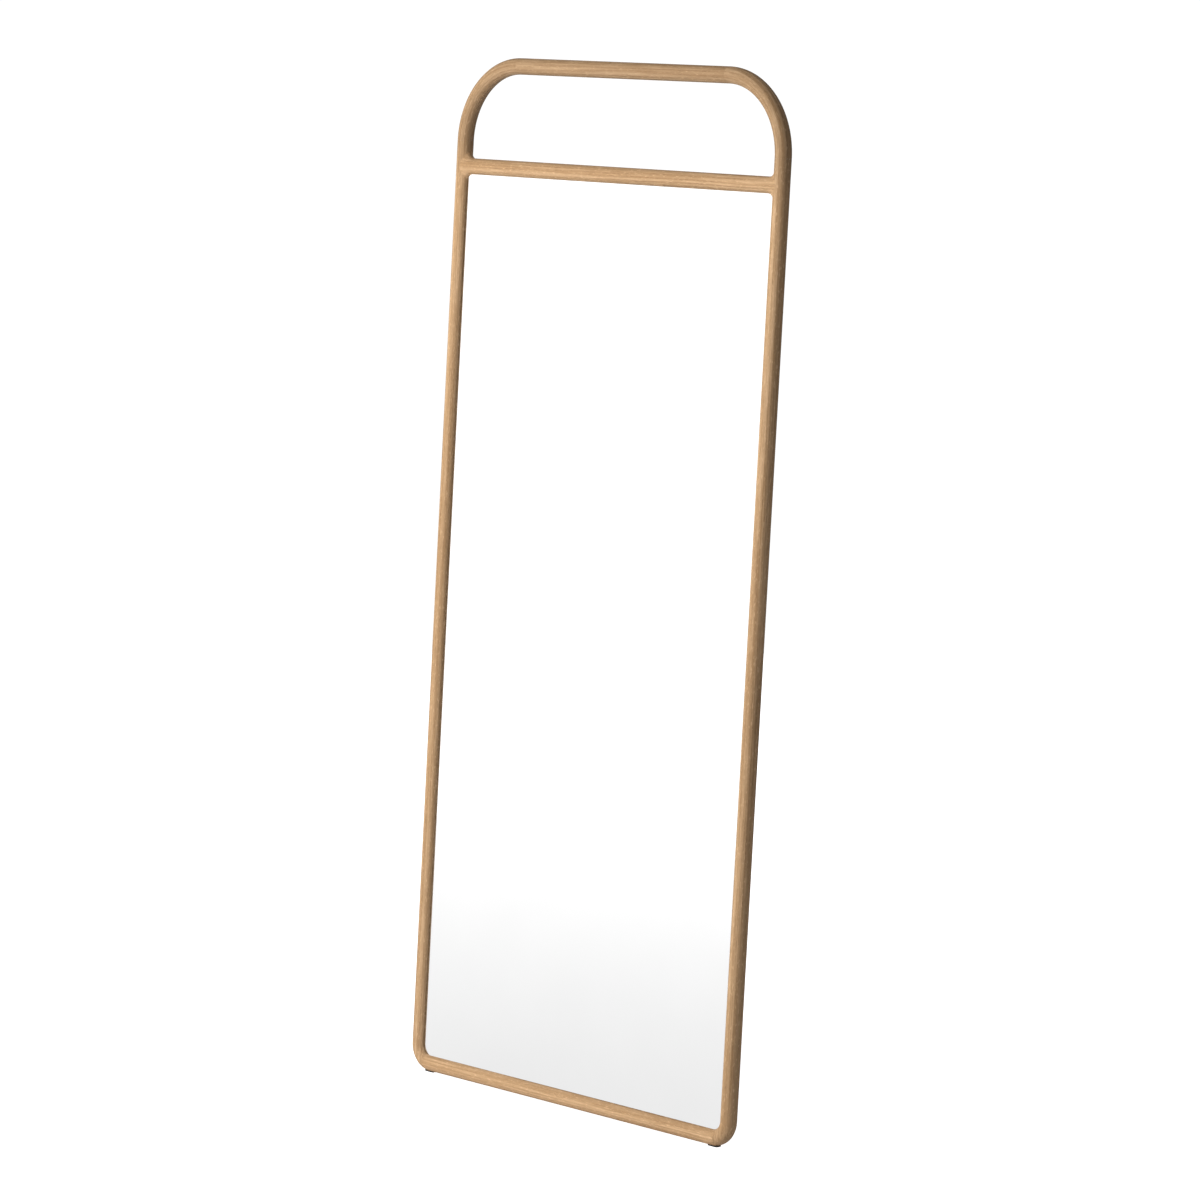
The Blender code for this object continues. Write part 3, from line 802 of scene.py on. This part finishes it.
def build_bumpers():
    """The rubber discs behind the top rail, with a rounded rim and a shallow dish."""
    for side in SIDES:
        low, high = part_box(f"wall_bumper_{side}")
        centre = (low + high) / 2
        radius = (high.x - low.x) / 2
        depth = high.y - low.y
        rim = BUMPER_RIM_RADIUS
        ease = 0.0002
        dish = 0.0003
        profile = [(radius * 0.6, -depth / 2), (radius - ease, -depth / 2), (radius, -depth / 2 + ease)]
        for k in range(7):
            angle = math.pi / 2 * k / 6
            y = depth / 2 - rim + rim * math.sin(angle)
            profile.append((radius - rim + rim * math.cos(angle), y))
        profile.append((radius * 0.72, depth / 2))
        profile.append((radius * 0.62, depth / 2 - 0.00025))
        profile.append((radius * 0.20, depth / 2 - dish))
        bumper = mesh_object(f"wall_bumper_{side}_disc", turned(profile, 64))
        bumper.data.transform(Matrix.Translation(centre))
        bumper.data.transform(TO_FRAME)
        settle(bumper, "root", RUBBER, [f"wall_bumper_{side}"], 40.0)


def build_pads():
    """The anti-slip pads under the bottom corners, with eased edges and a shallow hollow below."""
    for side in SIDES:
        low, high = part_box(f"anti_slip_pad_{side}")
        centre = (low + high) / 2
        half = (high - low) / 2
        ease = PAD_EASE
        corner = PAD_CORNER_RADIUS
        layers = (
            (half.x, half.y, high.z),
            (half.x, half.y, low.z + ease),
            (half.x - ease * 0.3, half.y - ease * 0.3, low.z + ease * 0.3),
            (half.x - ease, half.y - ease, low.z),
        )
        bm = bmesh.new()
        rings = []
        for length, width, z in layers:
            ring = []
            for x_sign, y_sign, start in ((1, -1, -90), (1, 1, 0), (-1, 1, 90), (-1, -1, 180)):
                for k in range(6):
                    angle = math.radians(start + 90 * k / 5)
                    x = centre.x + x_sign * (length - corner) + corner * math.cos(angle)
                    y = centre.y + y_sign * (width - corner) + corner * math.sin(angle)
                    ring.append(bm.verts.new((x, y, z)))
            rings.append(ring)
        skin_rings(bm, rings)
        bm.faces.new(rings[0])
        base = bm.faces.new(rings[-1])
        bmesh.ops.recalc_face_normals(bm, faces=bm.faces[:])
        bmesh.ops.inset_individual(bm, faces=[base], thickness=0.0012, depth=0.0)
        bmesh.ops.inset_individual(bm, faces=[base], thickness=0.0004, depth=-0.0003)
        pad = mesh_object(f"anti_slip_pad_{side}_tread", bm)
        pad.data.transform(TO_FRAME)
        settle(pad, "root", RUBBER, [f"anti_slip_pad_{side}"], 40.0)


def dress_kept_nodes():
    """Give the CAD nodes that stay their finished materials."""
    finishes = {
        "beech": beech_material(),
        "safety_film": film_material(),
        "foam": foam_material(),
        "fibreboard": fibreboard_material(),
    }
    chosen = {"safety_film": "safety_film", "foam_liner": "foam", "back_panel": "fibreboard"}
    for name, node in NODES.items():
        key = "beech" if "dowel" in name else chosen.get(name)
        if key:
            for place in node.material_slots:
                place.material = finishes[key]


def aim(thing, target):
    """Turn a lamp to face a point."""
    direction = Vector(target) - thing.location
    thing.rotation_euler = direction.to_track_quat("-Z", "Y").to_euler()


def add_area(name, azimuth, elevation, distance, size, power, target=(0.0, 0.0, 0.9)):
    """A soft lamp (width, height) at this bearing from the object; bearing 0 is straight in front."""
    data = bpy.data.lights.new(name, "AREA")
    data.shape = "RECTANGLE"
    data.size, data.size_y = size
    data.energy = power
    lamp = bpy.data.objects.new(name, data)
    bpy.context.scene.collection.objects.link(lamp)
    a, e = math.radians(azimuth), math.radians(elevation)
    offset = Vector((math.sin(a) * math.cos(e), -math.cos(a) * math.cos(e), math.sin(e)))
    lamp.location = Vector(target) + offset * distance
    aim(lamp, target)
    lamp.visible_camera = False
    lamp.visible_glossy = False
    return lamp


def floor_material():
    """A pale floor: white to the camera, greyer in the mirror near its foot with painted shade, plain to
    the wood.
    """
    material, tree, shader = new_material("floor_pale")
    place = add_node(tree, "ShaderNodeNewGeometry").outputs["Position"]
    far = add_node(tree, "ShaderNodeVectorMath", {0: place}, operation="LENGTH").outputs["Value"]
    shader.inputs["Base Color"].default_value = (0.72, 0.72, 0.72, 1.0)
    shader.inputs["Roughness"].default_value = 0.9
    shader.inputs["Specular IOR Level"].default_value = 0.1
    rays = add_node(tree, "ShaderNodeLightPath")
    # Painted shade: only the mirror sees this glow, greyer near the mirror's foot and whiter further out,
    # standing in for the shadow about its base.
    painted_foot_shade = spread(tree, far, 0.2, 4.5, 0.86, 1.12)
    glow = add_node(tree, "ShaderNodeEmission", {"Strength": painted_foot_shade})
    open_tone = spread(tree, far, 0.4, 2.6, 0.97, 1.05)
    open_view = add_node(tree, "ShaderNodeEmission", {"Strength": open_tone})
    lit = add_node(tree, "ShaderNodeAddShader", {0: shader.outputs[0], 1: open_view.outputs[0]})
    by_eye = add_node(tree, "ShaderNodeMixShader", {
        0: rays.outputs["Is Camera Ray"], 1: shader.outputs[0], 2: lit.outputs[0],
    })
    by_mirror = add_node(tree, "ShaderNodeMixShader", {
        0: rays.outputs["Is Singular Ray"], 1: by_eye.outputs[0], 2: glow.outputs[0],
    })
    tree.links.new(by_mirror.outputs[0], tree.nodes["Material Output"].inputs["Surface"])
    return material


def build_studio():
    """A pale floor, a white surround, a soft key lamp from the front left and two weak fills."""
    bm = bmesh.new()
    bmesh.ops.create_circle(bm, cap_ends=True, cap_tris=False, segments=96, radius=FLOOR_RADIUS)
    floor = mesh_object("studio_floor", bm)
    floor.data.materials.append(floor_material())
    world = bpy.data.worlds.new("studio")
    bpy.context.scene.world = world
    world.use_nodes = True
    tree = world.node_tree
    background = tree.nodes["Background"]
    rays = add_node(tree, "ShaderNodeLightPath")
    eye = maths(tree, "MULTIPLY", rays.outputs["Is Camera Ray"], CAMERA_WHITE - AMBIENT)
    sharp = maths(tree, "MULTIPLY", rays.outputs["Is Singular Ray"], MIRROR_WHITE - AMBIENT)
    strength = maths(tree, "ADD", maths(tree, "ADD", eye, sharp), AMBIENT)
    background.inputs["Color"].default_value = (1.0, 1.0, 1.0, 1.0)
    tree.links.new(strength, background.inputs["Strength"])
    add_area("key_front_left", KEY_BEARING, KEY_HEIGHT, KEY_DISTANCE, KEY_SIZE, KEY_POWER)
    add_area("fill_front", 25.0, 30.0, FILL_DISTANCE, FILL_SIZE, FILL_POWER)
    add_area("fill_back_left", 200.0, 25.0, FILL_DISTANCE, FILL_SIZE, BACK_POWER)


def build_camera():
    """The camera, to the right of the glass and looking slightly down."""
    data = bpy.data.cameras.new("camera")
    data.sensor_width = 36.0
    data.lens = CAMERA_LENS
    data.clip_end = 100.0
    camera = bpy.data.objects.new("camera", data)
    bpy.context.scene.collection.objects.link(camera)
    bearing = math.radians(CAMERA_BEARING)
    down = math.radians(CAMERA_DOWN)
    roll = math.radians(CAMERA_ROLL)
    turn = Matrix.Rotation(bearing, 4, "Z") @ Matrix.Rotation(math.pi / 2 - down, 4, "X")
    camera.matrix_world = Matrix.Translation(CAMERA_PLACE) @ turn @ Matrix.Rotation(roll, 4, "Z")
    bpy.context.scene.camera = camera


build_wood()
build_mirror()
build_screws()
build_bumpers()
build_pads()
dress_kept_nodes()
build_studio()
build_camera()
bpy.context.scene.view_settings.view_transform = "Standard"
